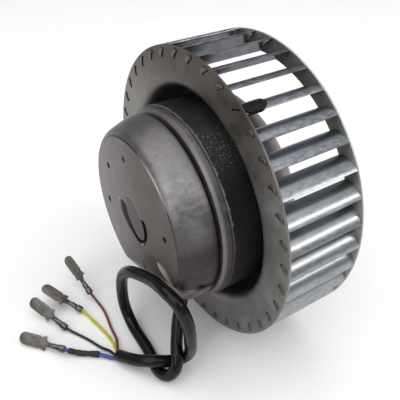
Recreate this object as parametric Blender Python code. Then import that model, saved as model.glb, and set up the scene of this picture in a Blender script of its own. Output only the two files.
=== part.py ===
"""Blower motor wheel: a forward-curved centrifugal fan wheel on an external-rotor motor.

Frame, in metres: the origin is the centre of the motor's flat mounting face. +Y runs along the shaft,
from that face towards the wheel's open inlet ring, and +Z is up. The wheel's rim stands on z = -0.070,
and the cable lies on that same surface.
"""

from math import cos, pi, radians, sin

import bmesh
import bpy
import numpy as np
from mathutils import Matrix, Vector

MM = 0.001
GAP = 0.3  # clearance between two pieces that touch, mm

# Wheel, mm
WHEEL_R = 70.0
SHEET = 0.8  # thickness of the back plate and of the inlet ring
PLATE_Y = 29.9  # motor side of the back plate
RING_Y = 69.7  # open side of the inlet ring
BLADE_COUNT = 38
BLADE_PITCH = 2 * pi / BLADE_COUNT
BLADE_INNER_R = 62.1
BLADE_SHEET = 0.5
BLADE_BEND_R = 8.6
BLADE_TURN = radians(75)
BLADE_LEAD = radians(-8.2)  # direction of the blade's inner edge, from the radius
FIRST_BLADE = radians(6.8)  # angle of blade 1's inner edge, from +X towards +Z
BLADE_ARC_STEPS = 5
CLIP_BLADE = 6
CLIP_LENGTH = 12.0
CLIP_SHEET = 0.5

# Motor, mm
CAN_R = 45.8
CAN_SHEET = 1.0
CAN_MOUTH_Y = 21.8
CAN_END_Y = 62.0
SHAFT_R = 4.0
FACE_HOLE_CIRCLE_R = 28.0
FACE_HOLE_R = 1.2
FACE_HOLE_ANGLES = [13, 103, 148, 193, 283]  # degrees
RECESS_INNER_R = 8.3  # the C-shaped recess round the middle of the face
RECESS_OUTER_R = 13.8
RECESS_ENDS = (165, 367)  # degrees
RECESS_DEPTH = 2.6
BEARING_R = 10.9
BEARING_WIDTH = 7.0
BEARING_FRONTS_Y = {"bearing_front": 4.2, "bearing_rear": 44.0}
SLOT_COUNT = 12
ROUND_STEPS = 48

# Cable, mm
CABLE_R = 2.9
OUTLET_ANGLE = radians(-61)  # around the shaft, from +X
OUTLET_Y = 9.2
OUTLET_BORE_R = 4.4
GROMMET_END = 46.0  # distance of the grommet's outer face from the shaft
PAD_R = 43.7  # outer radius of the raised pad round the cable's way out
NOTCH_CORNER = (33.0, 0.0, -15.3)  # where the notch's sloping floor leaves the face's edge
NOTCH_NORMAL = (0.18, -0.88, -0.44)
FLOOR_Z = -WHEEL_R
TAB_LENGTH = 25.0
TAB_WIDTH = 6.3
TAB_SHEET = 0.8
TAB_DROP = -1.15  # height of the flat tab's middle above its barrel's axis
BARREL_R = 1.75

# The cable's route from the grommet, once round its loop, to the end of its jacket.
CABLE_ROUTE = [
    (23.2, 9.2, -41.8), (25.5, 6.2, -46.2), (30.2, 2.5, -50.8), (35.8, -1.2, -54.2), (40.2, -4.2, -59.4),
    (38.6, -8.0, -65.2), (32.0, -9.8, -67.0), (24.5, -8.8, -66.8), (17.0, -8.0, -66.8), (9.5, -7.8, -67.0),
    (2.0, -7.5, -66.5), (-3.8, -7.5, -62.2), (-6.0, -7.8, -55.2), (-6.2, -7.8, -47.8), (-5.0, -7.8, -40.5),
    (-2.2, -7.5, -33.5), (2.8, -6.8, -28.0), (9.0, -5.5, -24.8), (16.0, -4.0, -22.5), (23.2, -3.3, -20.2),
    (30.5, -3.2, -18.4), (37.4, -2.0, -19.4), (41.7, -0.2, -24.8), (43.2, 1.0, -32.0), (42.8, 2.0, -39.5),
    (41.8, 2.8, -46.8), (39.8, 3.8, -53.8), (37.2, 2.2, -60.2), (34.4, -3.4, -62.4), (31.8, -10.0, -60.6),
    (27.2, -15.2, -61.8), (21.2, -18.8, -64.4), (14.8, -21.5, -67.0),
]

# Each core: its route from the jacket's end, along the floor, to its tab's barrel; its radius and colour; and
# how its tab lies: the heading in the floor's plane, the rise above it and the roll about its own length.
CORES = {
    "brown": {
        "route": [(13.6, -20.9, -66.2), (6.0, -18.6, -67.8), (-3.0, -17.2, -69.0), (-11.6, -15.8, -69.2),
                  (-19.2, -15.2, -68.9), (-24.6, -15.9, -67.7), (-29.6, -16.9, -65.8)],
        "radius": 0.7,
        "tab_lie": (192.0, 28.0, -62.0),
        "color": (0.16, 0.05, 0.02),
    },
    "yellow": {
        "route": [(14.4, -20.5, -68.2), (5.6, -20.4, -69.1), (-3.4, -20.9, -69.1), (-10.9, -22.2, -69.1),
                  (-17.8, -23.6, -69.1), (-23.0, -25.2, -68.2)],
        "radius": 0.75,
        "tab_lie": (212.4, 21.6, 6.0),
        "color": (0.62, 0.50, 0.03),
    },
    "black": {
        "route": [(14.5, -23.1, -66.2), (9.6, -24.2, -67.4), (4.8, -26.2, -68.9), (-1.0, -28.6, -69.2),
                  (-7.0, -31.4, -69.2), (-12.0, -34.2, -69.0), (-16.1, -36.6, -68.2)],
        "radius": 0.7,
        "tab_lie": (206.7, 17.7, -50.0),
        "color": (0.015, 0.015, 0.017),
    },
    "blue": {
        "route": [(15.1, -22.8, -68.4), (12.2, -25.4, -68.7), (8.2, -28.9, -68.4), (5.0, -32.8, -68.4),
                  (2.0, -36.9, -68.2), (-2.6, -42.5, -66.6)],
        "radius": 1.0,
        "tab_lie": (221.7, 3.1, -50.0),
        "color": (0.02, 0.06, 0.32),
    },
}
SLEEVE_R = 1.6
SLEEVE_BORE_R = 1.3
SLEEVE_SPAN = (0.34, 0.86)  # along the blue core's length


def clear_scene():
    for obj in list(bpy.data.objects):
        bpy.data.objects.remove(obj, do_unlink=True)


def material(name, color, roughness, metallic):
    made = bpy.data.materials.new(name)
    made.use_nodes = True
    shader = made.node_tree.nodes["Principled BSDF"]
    shader.inputs["Base Color"].default_value = (*color, 1.0)
    shader.inputs["Roughness"].default_value = roughness
    shader.inputs["Metallic"].default_value = metallic
    return made


def mesh_object(name, mesh_maker, finish, parent=None):
    """A named object around a new bmesh, with its normals facing out."""
    bmesh.ops.recalc_face_normals(mesh_maker, faces=mesh_maker.faces)
    mesh = bpy.data.meshes.new(name)
    mesh_maker.to_mesh(mesh)
    mesh_maker.free()
    obj = bpy.data.objects.new(name, mesh)
    bpy.context.scene.collection.objects.link(obj)
    mesh.shade_smooth()
    mesh.set_sharp_from_angle(angle=radians(35))
    obj.data.materials.append(finish)
    obj.parent = parent
    return obj


def turned(name, profile, finish, parent=None, steps=ROUND_STEPS):
    """A closed (radius, y) outline in mm, turned round the Y axis."""
    made = bmesh.new()
    rings = []
    for radius, along in profile:
        if radius == 0:
            rings.append([made.verts.new((0, along * MM, 0))] * steps)
            continue
        ring = []
        for step in range(steps):
            angle = 2 * pi * step / steps
            ring.append(made.verts.new((radius * cos(angle) * MM, along * MM, radius * sin(angle) * MM)))
        rings.append(ring)
    for ring, following in zip(rings, rings[1:] + rings[:1]):
        for step in range(steps):
            after = (step + 1) % steps
            corners = [ring[step], ring[after], following[after], following[step]]
            distinct = list(dict.fromkeys(corners))
            if len(distinct) > 2:
                made.faces.new(distinct)
    return mesh_object(name, made, finish, parent)


def prism(outline, low, high):
    """A bmesh of an (x, z) outline in mm, extruded from y = low to y = high."""
    made = bmesh.new()
    bottom = [made.verts.new((x * MM, low * MM, z * MM)) for x, z in outline]
    face = made.faces.new(bottom)
    grown = bmesh.ops.extrude_face_region(made, geom=[face])
    moved = [item for item in grown["geom"] if isinstance(item, bmesh.types.BMVert)]
    bmesh.ops.translate(made, verts=moved, vec=(0, (high - low) * MM, 0))
    return made


def boolean(target, cutter, operation):
    modifier = target.modifiers.new(operation.title(), "BOOLEAN")
    modifier.operation = operation
    modifier.object = cutter
    cutter.hide_render = True
    cutter.display_type = "WIRE"


def rod(name, start, end, radius, finish, steps=12):
    """A plain round rod from start to end, in mm."""
    start = Vector(start) * MM
    axis = Vector(end) * MM - start
    made = bmesh.new()
    bmesh.ops.create_cone(
        made, cap_ends=True, segments=steps, radius1=radius * MM, radius2=radius * MM, depth=axis.length
    )
    turn = axis.to_track_quat("Z", "Y").to_matrix().to_4x4()
    bmesh.ops.transform(made, matrix=Matrix.Translation(start + axis / 2) @ turn, verts=made.verts)
    return mesh_object(name, made, finish)


# --- smooth routes ---------------------------------------------------------------------------------


def smooth_route(points, spacing):
    """Points about every `spacing` along the natural cubic curve through the given ones."""
    points = np.array(points, float)
    steps = np.linalg.norm(np.diff(points, axis=0), axis=1)
    knots = np.concatenate([[0.0], np.cumsum(steps)])
    count = len(points)
    system = np.eye(count)
    right = np.zeros((count, 3))
    for i in range(1, count - 1):
        before, after = steps[i - 1], steps[i]
        system[i, i - 1 : i + 2] = before, 2 * (before + after), after
        right[i] = 6 * ((points[i + 1] - points[i]) / after - (points[i] - points[i - 1]) / before)
    bends = np.linalg.solve(system, right)
    made = []
    for at in np.linspace(0, knots[-1], int(round(knots[-1] / spacing)) + 1):
        i = min(int(np.searchsorted(knots, at, side="right")) - 1, count - 2)
        span = steps[i]
        a = (knots[i + 1] - at) / span
        b = 1 - a
        curve = ((a**3 - a) * bends[i] + (b**3 - b) * bends[i + 1]) * span**2 / 6
        made.append(a * points[i] + b * points[i + 1] + curve)
    return np.array(made)


def tube(name, points, radius, finish, resolution=2):
    """A cord as a curve object with a round bevel and filled caps."""
    curve = bpy.data.curves.new(name, "CURVE")
    curve.dimensions = "3D"
    curve.bevel_depth = radius * MM
    curve.bevel_resolution = resolution
    curve.use_fill_caps = True
    spline = curve.splines.new("POLY")
    spline.points.add(len(points) - 1)
    for target, point in zip(spline.points, points):
        target.co = (*(Vector(point) * MM), 1.0)
    obj = bpy.data.objects.new(name, curve)
    bpy.context.scene.collection.objects.link(obj)
    curve.materials.append(finish)
    return obj


# --- the still side --------------------------------------------------------------------------------


def stator_housing(cast):
    """Cup with a flat face at y = 0, and the bearing tube that stands inside it."""
    wall_end_y, floor_y = 16.0, 3.4
    tube_r, tube_end_y = 14.5, 52.0
    bore_r = BEARING_R + GAP
    profile = [
        (0, 0), (37.4, 0), (38.3, 0.7), (39.9, 1.9), (40.7, 4.0), (42.4, 8.9), (43.4, 11.7),
        (43.2, wall_end_y), (40.6, wall_end_y), (39.0, floor_y), (tube_r, floor_y), (tube_r, tube_end_y),
        (bore_r, tube_end_y), (bore_r, floor_y), (0, floor_y),
    ]  # fmt: skip
    housing = turned("stator_housing", profile, cast)
    recess_outline = sector(RECESS_INNER_R, RECESS_OUTER_R, *RECESS_ENDS, 20)
    recess = mesh_object("cut_recess", prism(recess_outline, -1.0, RECESS_DEPTH), cast)
    boolean(housing, recess, "DIFFERENCE")
    for degrees in FACE_HOLE_ANGLES:
        x = FACE_HOLE_CIRCLE_R * cos(radians(degrees))
        z = FACE_HOLE_CIRCLE_R * sin(radians(degrees))
        hole = rod(f"cut_screw_{degrees}", (x, -1, z), (x, floor_y + 1, z), FACE_HOLE_R, cast)
        boolean(housing, hole, "DIFFERENCE")
    for joined in (outlet_backing(cast), outlet_pad(cast)):
        boolean(housing, joined, "UNION")
    boolean(housing, outlet_notch(cast), "DIFFERENCE")
    outward = Vector((cos(OUTLET_ANGLE), 0, sin(OUTLET_ANGLE)))
    mouth = rod(
        "cut_cable_outlet",
        outward * 32 + Vector((0, OUTLET_Y, 0)),
        outward * 50 + Vector((0, OUTLET_Y, 0)),
        OUTLET_BORE_R,
        cast,
    )
    boolean(housing, mouth, "DIFFERENCE")
    return housing


def sector(inner_r, outer_r, first, last, steps):
    """(x, z) outline between two radii and two angles in degrees."""
    outline = []
    for radius, sweep in [(outer_r, range(steps + 1)), (inner_r, range(steps, -1, -1))]:
        for step in sweep:
            angle = radians(first + (last - first) * step / steps)
            outline.append((radius * cos(angle), radius * sin(angle)))
    return outline


def outlet_backing(cast):
    """Thick stretch of the wall inside the cup, which the notch and the cable's bore are cut into."""
    return mesh_object("join_outlet_backing", prism(sector(31.0, 41.0, -112, -28, 8), 2.0, 14.5), cast)


def outlet_pad(cast):
    """Low raised band on the outside of the wall."""
    return mesh_object("join_outlet_pad", prism(sector(40.9, PAD_R, -100, -21, 10), 8.6, 15.8), cast)


def outlet_notch(cast):
    """Slab whose near face is the notch's sloping floor, cut into the corner between face and wall."""
    half_size, depth = 60.0, 14.0
    made = bmesh.new()
    bmesh.ops.create_cube(made, size=1.0)
    normal = Vector(NOTCH_NORMAL).normalized()
    middle = (Vector(NOTCH_CORNER) + normal * depth / 2) * MM
    scale = Matrix.Diagonal((2 * half_size * MM, 2 * half_size * MM, depth * MM, 1.0))
    turn = normal.to_track_quat("Z", "Y").to_matrix().to_4x4()
    bmesh.ops.transform(made, matrix=Matrix.Translation(middle) @ turn @ scale, verts=made.verts)
    return mesh_object("cut_outlet_notch", made, cast)


def cable_grommet(rubber):
    """Bushing in the outlet's bore, tapered where it stands out of the wall."""
    neck_r, nose_r = OUTLET_BORE_R - GAP, 3.3
    profile = [(0, 36.0), (neck_r, 36.0), (neck_r, PAD_R + GAP), (nose_r, GROMMET_END), (0, GROMMET_END)]
    grommet = turned("cable_grommet", profile, rubber, steps=16)
    grommet.location = (0, OUTLET_Y * MM, 0)
    outward = Vector((cos(OUTLET_ANGLE), 0, sin(OUTLET_ANGLE)))
    grommet.rotation_mode = "QUATERNION"
    grommet.rotation_quaternion = Vector((0, 1, 0)).rotation_difference(outward)
    return grommet


def stator_core(iron):
    """Lamination stack with twelve teeth round the bearing tube."""
    bore_r, root_r, tooth_r = 15.0, 21.0, 34.0
    low, high = 24.0, 44.0
    tooth_share = 0.45
    made = bmesh.new()
    pitch = 2 * pi / SLOT_COUNT
    inner = []
    outer = []
    for slot in range(SLOT_COUNT):
        for radius, at in [
            (root_r, 0.0), (root_r, 1 - tooth_share), (tooth_r, 1 - tooth_share),
            (tooth_r, 1 - tooth_share / 2), (tooth_r, 1.0),
        ]:  # fmt: skip
            angle = (slot + at) * pitch
            outer.append((radius * cos(angle), radius * sin(angle)))
            inner.append((bore_r * cos(angle), bore_r * sin(angle)))
    loops = []
    for outline in (outer, inner):
        for along in (low, high):
            loops.append([made.verts.new((x * MM, along * MM, z * MM)) for x, z in outline])
    outer_low, outer_high, inner_low, inner_high = loops
    count = len(outer)
    for i in range(count):
        j = (i + 1) % count
        made.faces.new([outer_low[i], outer_low[j], outer_high[j], outer_high[i]])
        if (inner_low[i].co - inner_low[j].co).length > GAP * MM / 10:
            made.faces.new([inner_low[j], inner_low[i], inner_high[i], inner_high[j]])
            made.faces.new([outer_low[j], outer_low[i], inner_low[i], inner_low[j]])
            made.faces.new([outer_high[i], outer_high[j], inner_high[j], inner_high[i]])
        else:
            made.faces.new([outer_low[j], outer_low[i], inner_low[i]])
            made.faces.new([outer_high[i], outer_high[j], inner_high[i]])
    bmesh.ops.remove_doubles(made, verts=made.verts, dist=GAP * MM / 10)
    return mesh_object("stator_core", made, iron)


def stator_winding(copper):
    """Two end turns and the twelve bundles that pass between the core's teeth."""
    inner_r, outer_r = 17.0, 32.5
    front = (19.5, 23.7)
    rear = (44.3, 48.5)
    slot_r = (21.4, 32.0)
    ring = turned(
        "stator_winding",
        [(inner_r, front[0]), (outer_r, front[0]), (outer_r, front[1]), (inner_r, front[1])],
        copper,
        steps=36,
    )
    back = turned(
        "join_rear_turns",
        [(inner_r, rear[0]), (outer_r, rear[0]), (outer_r, rear[1]), (inner_r, rear[1])],
        copper,
        steps=36,
    )
    boolean(ring, back, "UNION")
    pitch = 2 * pi / SLOT_COUNT
    for slot in range(SLOT_COUNT):
        outline = []
        for radius, at in [(slot_r[0], 0.07), (slot_r[1], 0.07), (slot_r[1], 0.48), (slot_r[0], 0.48)]:
            angle = (slot + at) * pitch
            outline.append((radius * cos(angle), radius * sin(angle)))
        length = prism(outline, (front[0] + front[1]) / 2, (rear[0] + rear[1]) / 2)
        bundle = mesh_object(f"join_bundle_{slot + 1}", length, copper)
        boolean(ring, bundle, "UNION")
    return ring


def bearing(name, front_y, steel):
    """Ball bearing: both races, with the balls and shields as a sunk band between them."""
    bore_r = SHAFT_R + GAP
    shield_r = (6.2, 8.9)
    sink = 0.6
    back_y = front_y + BEARING_WIDTH
    profile = [
        (bore_r, front_y), (shield_r[0], front_y), (shield_r[0], front_y + sink),
        (shield_r[1], front_y + sink), (shield_r[1], front_y), (BEARING_R, front_y),
        (BEARING_R, back_y), (shield_r[1], back_y), (shield_r[1], back_y - sink),
        (shield_r[0], back_y - sink), (shield_r[0], back_y), (bore_r, back_y),
    ]  # fmt: skip
    return turned(name, profile, steel, steps=24)


# --- the cable's end -------------------------------------------------------------------------------


def push_on_tab(name, place, steel):
    """Crimp barrel that narrows to a neck and flattens into a tab with a rounded tip."""
    half_tab = TAB_WIDTH / 2
    half_sheet = TAB_SHEET / 2
    # distance from the barrel's mouth, half width, half height, height of the middle above the barrel's axis
    sections = [
        (0.0, BARREL_R, BARREL_R, 0.0), (6.5, BARREL_R, BARREL_R, 0.0), (7.5, 1.3, 1.0, -0.55),
        (9.5, 1.4, half_sheet, TAB_DROP), (11.0, half_tab, half_sheet, TAB_DROP),
        (14.0, half_tab, half_sheet, TAB_DROP), (TAB_LENGTH - 2.4, half_tab, half_sheet, TAB_DROP),
        (TAB_LENGTH - 0.7, half_tab * 0.72, half_sheet, TAB_DROP),
        (TAB_LENGTH, half_tab * 0.35, half_sheet, TAB_DROP),
    ]  # fmt: skip
    made = bmesh.new()
    rings = []
    for along, half_width, half_height, middle in sections:
        flat = half_width > BARREL_R or half_height == half_sheet
        ring = []
        for corner in range(8):
            angle = 2 * pi * (corner + 0.5) / 8
            across, up = cos(angle), sin(angle)
            if flat:
                across = max(-1.0, min(1.0, across * 1.09))
                up = max(-1.0, min(1.0, up * 2.7))
            else:
                across, up = across / cos(pi / 8), up / cos(pi / 8)
            aside = across * half_width * cos(pi / 8)
            height = middle + up * half_height * cos(pi / 8)
            ring.append(made.verts.new((along * MM, aside * MM, height * MM)))
        rings.append(ring)
    for ring, following in zip(rings, rings[1:]):
        for i in range(8):
            j = (i + 1) % 8
            made.faces.new([ring[i], ring[j], following[j], following[i]])
    made.faces.new(rings[0])
    made.faces.new(rings[-1])
    bmesh.ops.transform(made, matrix=place, verts=made.verts)
    return mesh_object(name, made, steel)


def tab_place(end, lie):
    """Where a tab's barrel starts and which way the tab points, just past a core's end."""
    heading, rise, roll = (radians(degrees) for degrees in lie)
    turn = Matrix.Rotation(heading, 4, "Z") @ Matrix.Rotation(-rise, 4, "Y") @ Matrix.Rotation(roll, 4, "X")
    return Matrix.Translation((Vector(end) + turn @ Vector((GAP, 0, 0))) * MM) @ turn


def cable_and_cores(finishes):
    cable_points = smooth_route(CABLE_ROUTE, 3.2)
    tube("power_cable", cable_points, CABLE_R, finishes["cable"], resolution=2)
    for colour, core in CORES.items():
        points = smooth_route(core["route"], 3.0)
        finish = material(f"core_{colour}", core["color"], 0.4, 0.0)
        tube(f"core_{colour}", points, core["radius"], finish)
        push_on_tab(f"terminal_{colour}", tab_place(points[-1], core["tab_lie"]), finishes["tinned"])
        if colour == "blue":
            core_sleeve(points, finishes["rubber"])


def core_sleeve(points, finish):
    """Open tube round the middle of the blue core."""
    first = int(len(points) * SLEEVE_SPAN[0])
    last = int(len(points) * SLEEVE_SPAN[1]) + 1
    route = [Vector(point) for point in points[first:last]]
    sides = 10
    made = bmesh.new()
    loops = {SLEEVE_R: [], SLEEVE_BORE_R: []}
    for i, point in enumerate(route):
        ahead = (route[min(i + 1, len(route) - 1)] - route[max(i - 1, 0)]).normalized()
        across = ahead.cross(Vector((0, 0, 1))).normalized()
        up = across.cross(ahead)
        for radius, made_loops in loops.items():
            ring = []
            for side in range(sides):
                angle = 2 * pi * side / sides
                spot = point + (across * cos(angle) + up * sin(angle)) * radius
                spot.z = max(spot.z, FLOOR_Z + 0.02) if radius == SLEEVE_R else spot.z
                ring.append(made.verts.new(spot * MM))
            made_loops.append(ring)
    for made_loops in loops.values():
        for ring, following in zip(made_loops, made_loops[1:]):
            for i in range(sides):
                j = (i + 1) % sides
                made.faces.new([ring[i], ring[j], following[j], following[i]])
    for end in (0, -1):
        outer, inner = loops[SLEEVE_R][end], loops[SLEEVE_BORE_R][end]
        for i in range(sides):
            j = (i + 1) % sides
            made.faces.new([outer[i], outer[j], inner[j], inner[i]])
    return mesh_object("core_sleeve", made, finish)


# --- the turning side ------------------------------------------------------------------------------


def rotor_can(black, spin):
    """Drawn cup over the motor, with a chamfered closed end and a hub for the shaft."""
    shoulder_y = 49.5
    end_r = CAN_R - (CAN_END_Y - shoulder_y)
    hub_r, hub_y = 8.0, 54.5
    inside_r = CAN_R - CAN_SHEET
    inside_y = CAN_END_Y - CAN_SHEET
    profile = [
        (CAN_R, CAN_MOUTH_Y), (CAN_R, shoulder_y), (end_r, CAN_END_Y), (0, CAN_END_Y), (0, inside_y),
        (SHAFT_R + GAP, inside_y), (SHAFT_R + GAP, hub_y), (hub_r, hub_y),
        (hub_r, inside_y), (end_r - 0.4 * CAN_SHEET, inside_y),
        (inside_r, shoulder_y - 0.4 * CAN_SHEET), (inside_r, CAN_MOUTH_Y),
    ]  # fmt: skip
    return turned("rotor_can", profile, black, spin)


def rotor_cage(aluminium, spin):
    """Squirrel cage: the end ring shows in front of the can, and the rest is inside it."""
    bore_r = 34.6
    inside_can_r = CAN_R - CAN_SHEET - GAP
    profile = [
        (bore_r + 2, 17.5), (44.2, 17.5), (45.3, 18.6), (45.6, CAN_MOUTH_Y - GAP),
        (inside_can_r, CAN_MOUTH_Y - GAP), (inside_can_r, 44.5), (bore_r, 44.5), (bore_r, 24.0),
    ]  # fmt: skip
    return turned("rotor_cage", profile, aluminium, spin)


def rotor_shaft(steel, spin):
    end_y = CAN_END_Y - CAN_SHEET - GAP
    start_y = 4.0
    profile = [
        (0, start_y), (SHAFT_R - 0.5, start_y), (SHAFT_R, start_y + 0.5), (SHAFT_R, end_y), (0, end_y),
    ]  # fmt: skip
    return turned("rotor_shaft", profile, steel, spin, steps=24)


def back_plate(sheet, spin):
    """Annular plate whose inner edge is drawn into a cup that fits over the rotor can."""
    bend_r = 4.8
    bend_middle = (56.3, PLATE_Y + bend_r)
    collar_r = bend_middle[0] - bend_r
    end_y = CAN_END_Y + GAP
    motor_side = [(WHEEL_R, PLATE_Y)]
    blade_side = [(WHEEL_R, PLATE_Y + SHEET)]
    for side, radius in [(motor_side, bend_r), (blade_side, bend_r - SHEET)]:
        for step in range(4):
            angle = radians(30 * step)
            side.append((bend_middle[0] - radius * sin(angle), bend_middle[1] - radius * cos(angle)))
    motor_side += [(50.6, 42.0), (46.6, 51.0), (35.4, end_y), (12.0, end_y)]
    blade_side += [
        (50.6 + SHEET, 42.0 + 0.1), (46.6 + 0.9 * SHEET, 51.0 + 0.4 * SHEET),
        (35.4 + 0.4 * SHEET, end_y + SHEET), (12.0, end_y + SHEET),
    ]  # fmt: skip
    assert collar_r > CAN_R
    return turned("back_plate", motor_side + blade_side[::-1], sheet, spin)


def inlet_ring(sheet, spin):
    inner_r = 61.9
    profile = [(inner_r, RING_Y - SHEET), (inner_r, RING_Y), (WHEEL_R, RING_Y), (WHEEL_R, RING_Y - SHEET)]
    return turned("inlet_ring", profile, sheet, spin)


def blade_line(offset, start=0.0, end=1.0, steps=BLADE_ARC_STEPS):
    """Points along the blade's arc, moved sideways by offset, for a blade whose inner edge is on +X."""
    points = []
    for step in range(steps + 1):
        turned_by = BLADE_TURN * (start + (end - start) * step / steps)
        heading = BLADE_LEAD - turned_by
        radius = BLADE_BEND_R + offset
        x = BLADE_INNER_R + BLADE_BEND_R * sin(BLADE_LEAD) - radius * sin(heading)
        z = -BLADE_BEND_R * cos(BLADE_LEAD) + radius * cos(heading)
        points.append((x, z))
    return points


def turned_outline(outline, angle):
    return [(x * cos(angle) - z * sin(angle), x * sin(angle) + z * cos(angle)) for x, z in outline]


def blades(sheet, spin):
    half = BLADE_SHEET / 2
    outline = blade_line(half) + blade_line(-half)[::-1]
    low = PLATE_Y + SHEET + GAP
    high = RING_Y - SHEET - GAP
    for number in range(BLADE_COUNT):
        angle = FIRST_BLADE + number * BLADE_PITCH
        shape = prism(turned_outline(outline, angle), low, high)
        mesh_object(f"blade_{number + 1:02d}", shape, sheet, spin)


def balance_clip(black, spin):
    """Folded strip pushed over one blade's inner edge, with a leg along each side of the blade."""
    near = BLADE_SHEET / 2 + GAP
    far = near + CLIP_SHEET
    reach = 0.93
    nose = -0.08
    outer = blade_line(far, nose - 0.03, reach, 7) + blade_line(near, nose + 0.02, reach, 7)[::-1]
    inner = blade_line(-near, nose + 0.02, reach, 7) + blade_line(-far, nose - 0.03, reach, 7)[::-1]
    angle = FIRST_BLADE + CLIP_BLADE * BLADE_PITCH
    low = PLATE_Y + SHEET + GAP
    shape = prism(turned_outline(outer + inner, angle), low, low + CLIP_LENGTH)
    return mesh_object("balance_clip", shape, black, spin)


def main():
    clear_scene()
    cast = material("cast_aluminium", (0.42, 0.38, 0.34), 0.5, 0.9)
    steel = material("bearing_steel", (0.5, 0.5, 0.5), 0.3, 1.0)
    iron = material("lamination_iron", (0.12, 0.12, 0.13), 0.55, 0.8)
    copper = material("copper_winding", (0.45, 0.19, 0.09), 0.4, 0.8)
    black = material("black_enamel", (0.03, 0.03, 0.033), 0.6, 0.2)
    galvanised = material("galvanised_sheet", (0.44, 0.44, 0.42), 0.4, 0.95)
    ring_finish = material("ring_sheet", (0.30, 0.31, 0.26), 0.45, 0.9)
    end_ring = material("cage_aluminium", (0.60, 0.58, 0.55), 0.45, 0.95)
    finishes = {
        "cable": material("cable_jacket", (0.012, 0.012, 0.013), 0.3, 0.0),
        "rubber": material("black_rubber", (0.02, 0.02, 0.02), 0.6, 0.0),
        "tinned": material("tinned_brass", (0.40, 0.38, 0.34), 0.45, 0.95),
    }
    stator_housing(cast)
    cable_grommet(finishes["rubber"])
    stator_core(iron)
    stator_winding(copper)
    for name, front_y in BEARING_FRONTS_Y.items():
        bearing(name, front_y, steel)
    cable_and_cores(finishes)

    spin = bpy.data.objects.new("wheel_axis", None)
    bpy.context.scene.collection.objects.link(spin)
    rotor_can(black, spin)
    rotor_cage(end_ring, spin)
    rotor_shaft(steel, spin)
    back_plate(galvanised, spin)
    inlet_ring(ring_finish, spin)
    blades(galvanised, spin)
    balance_clip(black, spin)


main()
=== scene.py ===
"""Looks of the blower motor wheel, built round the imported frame.

The row frame: the origin is the centre of the motor's flat face, +Y runs along the shaft to the open inlet
ring, and +Z is up. Lengths are in millimetres until a mesh is made. Cord routes are in metres.
"""

from math import cos, pi, radians, sin, sqrt

import bmesh
import bpy
import numpy as np
from mathutils import Matrix, Vector


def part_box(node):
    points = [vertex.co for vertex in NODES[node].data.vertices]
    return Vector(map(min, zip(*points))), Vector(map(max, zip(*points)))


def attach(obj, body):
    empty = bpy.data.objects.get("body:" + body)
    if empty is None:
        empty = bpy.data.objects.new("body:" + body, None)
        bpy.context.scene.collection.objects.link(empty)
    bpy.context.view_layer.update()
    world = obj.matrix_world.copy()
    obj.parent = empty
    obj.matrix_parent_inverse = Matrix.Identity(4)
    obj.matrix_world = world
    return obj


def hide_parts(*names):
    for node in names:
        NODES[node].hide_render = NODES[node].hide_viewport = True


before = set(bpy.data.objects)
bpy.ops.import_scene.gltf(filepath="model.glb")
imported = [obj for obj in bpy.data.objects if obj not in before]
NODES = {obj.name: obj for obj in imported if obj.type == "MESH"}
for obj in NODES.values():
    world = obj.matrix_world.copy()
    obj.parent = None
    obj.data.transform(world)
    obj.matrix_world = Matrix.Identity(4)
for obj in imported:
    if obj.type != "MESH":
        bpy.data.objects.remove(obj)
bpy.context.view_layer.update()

MM = 0.001

# Driving sizes, read from the frame, mm
WHEEL_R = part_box("back_plate")[1].x / MM
PLATE_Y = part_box("back_plate")[0].y / MM
RING_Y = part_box("inlet_ring")[1].y / MM
CAN_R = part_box("rotor_can")[1].x / MM
CAN_MOUTH_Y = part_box("rotor_can")[0].y / MM
CAN_END_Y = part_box("rotor_can")[1].y / MM
CAGE_FRONT_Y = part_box("rotor_cage")[0].y / MM
CUP_END_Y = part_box("back_plate")[1].y / MM
FLOOR_Z = -WHEEL_R
ROUND_STEPS = 192
SHARP_FROM = radians(32)  # edges that turn more than this are shaded sharp

# Wheel, mm
SHEET = 0.8
BLADE_COUNT = 38
BLADE_PITCH = 2 * pi / BLADE_COUNT
BLADE_INNER_R = 62.1
BLADE_SHEET = 0.5
BLADE_BEND_R = 8.6
BLADE_TURN = radians(75)
BLADE_LEAD = radians(-8.2)
FIRST_BLADE = radians(6.8)
CLIP_BLADE = 6  # blades are counted from 0
EMPTY_SLOT_BLADE = 6  # its near tab was never staked over
TAB_SPAN = (0.26, 0.68)  # share of the blade's arc that goes through the plate
RING_OUTER_Y = RING_Y - 0.55  # the ring's open side, which leaves room for the staked tabs

# Housing, mm
FACE_R = 37.5
FACE_FLOOR_Y = 3.4
FACE_HOLE_CIRCLE_R = 28.0
FACE_HOLE_R = 1.2
FACE_HOLE_ANGLES = [13, 103, 148, 193, 283]  # degrees
DISC_MIDDLE = (0.2, -0.5)
DISC_HALF = (10.6, 6.8)  # long and short half axes of the oval middle disc
DISC_TURN = radians(-54)
RECESS_EDGE = [  # outer edge of the recess: direction in degrees, and distance from the shaft
    (166, 14.0), (198, 14.9), (219, 13.5), (249, 12.3), (282, 13.5), (310, 14.1), (342, 13.1),
    (363, 12.2), (384, 10.4),
]  # fmt: skip
RECESS_DEPTH = 3.0
BURRS = ((-14.6, 1.6), (6.1, -11.8))  # x and z of the nubs beside the recess
DISHED_TONE_REACH = ((26.2, 0.6, -13.6), 7.2, 7.4)  # middle, and where its tone starts to fade and is gone
OUTLET_HEADING = Vector((cos(radians(-61)), 0, sin(radians(-61))))
OUTLET_Y = 9.2
OUTLET_BORE_R = 4.4
PAD_R = 43.7
NOTCH_CORNER = (33.0, 0.0, -15.3)
NOTCH_NORMAL = (0.18, -0.88, -0.44)

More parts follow.
